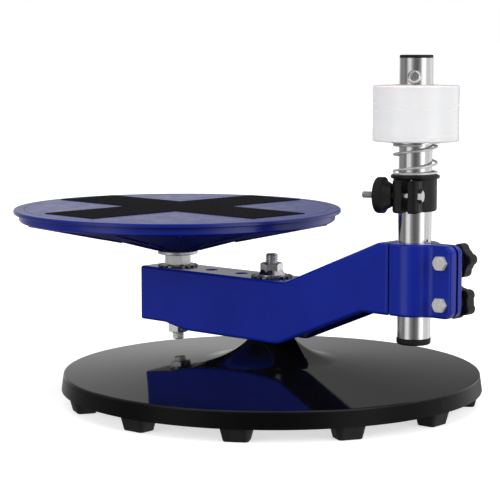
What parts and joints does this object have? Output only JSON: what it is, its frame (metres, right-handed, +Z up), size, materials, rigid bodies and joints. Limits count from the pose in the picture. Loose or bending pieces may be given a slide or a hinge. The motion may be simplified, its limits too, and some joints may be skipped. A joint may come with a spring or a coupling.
{
  "type": "film wrapping turntable stand",
  "caption": "Bench stand for wrapping bowls in stretch film: a turntable on a bent arm over a heavy round base, and a clamped post with a sprung film roll.",
  "frame": {"origin": "on the table, under the middle of the whole footprint", "axes": "+X along the arm from the turntable to the post, +Y to the side of the clamp knobs, +Z up"},
  "size_m": [0.4269, 0.338, 0.2772],
  "materials": {
    "black_gloss": "gloss",
    "ballast_steel": "mill",
    "foot_rubber": "matte",
    "grip_rubber": "matte",
    "blue_paint": "gloss",
    "zinc": "bright",
    "spring_steel": "satin",
    "bearing_steel": "polished",
    "polished_steel": "polished",
    "black_plastic": "satin",
    "brass_insert": "turned",
    "roll_core": "matte",
    "film": "gloss"
  },
  "bodies": {
    "stand": {"base_cover": "black_gloss", "base_ballast": "ballast_steel", "base_feet": "foot_rubber", "base_bolt": "zinc", "base_lock_washer": "spring_steel", "base_flange_nut": "zinc", "arm_channel": "blue_paint", "arm_foot_plate": "blue_paint", "arm_spacer": "ballast_steel", "arm_clamp": "blue_paint", "clamp_bolts": "zinc", "clamp_washers": "zinc", "spindle": "zinc", "spindle_lock_washer": "spring_steel", "spindle_lower_washer": "zinc", "spindle_lower_nut": "zinc", "hub_washer": "zinc", "bearing_spacer": "zinc", "bearing_inner_race": "bearing_steel", "spindle_top_nut": "zinc"},
    "turntable": {"platter_disc": "blue_paint", "platter_shell": "blue_paint", "bearing_outer_race": "bearing_steel", "bearing_balls": "bearing_steel", "grip_strip_long": "grip_rubber", "grip_strip_halves": "grip_rubber"},
    "post": {"post_tube": "polished_steel", "post_top_cap": "black_plastic", "post_bottom_cap": "black_plastic", "stop_screw": "zinc"},
    "upper_knob": {"clamp_knob_upper": "black_plastic", "knob_insert_upper": "brass_insert"},
    "lower_knob": {"clamp_knob_lower": "black_plastic", "knob_insert_lower": "brass_insert"},
    "height_collar": {"collar": "black_plastic", "collar_bolt": "zinc", "spring_seat": "black_plastic", "spring": "spring_steel"},
    "side_knob": {"collar_knob": "black_plastic", "collar_knob_insert": "brass_insert"},
    "pressure_plate": {"pressure_washer": "black_plastic"},
    "roll": {"film_core": "roll_core", "film_roll": "film"}
  },
  "joints": [
    {"name": "turntable_spin", "type": "hinge", "parent": "stand", "child": "turntable", "pos_m": [-0.0766, 0, 0.1205], "axis": [0, 0, 1], "continuous": true},
    {"name": "post_height", "type": "slide", "parent": "stand", "child": "post", "axis": [0, 0, 1], "range_m": [-0.01, 0.017]},
    {"name": "collar_height", "type": "slide", "parent": "post", "child": "height_collar", "axis": [0, 0, 1], "range_m": [-0.012, 0]},
    {"name": "roll_press", "type": "slide", "parent": "height_collar", "child": "pressure_plate", "axis": [0, 0, 1], "range_m": [-0.012, 0], "stiffness_N_per_m": 1400, "springref_m": 0.004, "deforming": ["spring"]},
    {"name": "roll_spin", "type": "hinge", "parent": "pressure_plate", "child": "roll", "pos_m": [0.1704, 0, 0.234], "axis": [0, 0, 1], "continuous": true},
    {"name": "upper_knob_turn", "type": "hinge", "parent": "stand", "child": "upper_knob", "pos_m": [0.2004, 0.016, 0.125], "axis": [0, 1, 0], "range_deg": [0, 720]},
    {"name": "lower_knob_turn", "type": "hinge", "parent": "stand", "child": "lower_knob", "pos_m": [0.2004, 0.016, 0.0939], "axis": [0, 1, 0], "range_deg": [0, 720]},
    {"name": "side_knob_turn", "type": "hinge", "parent": "height_collar", "child": "side_knob", "pos_m": [0.17758, -0.01973, 0.1742], "axis": [-0.9397, -0.342, 0], "range_deg": [0, 720]}
  ]
}
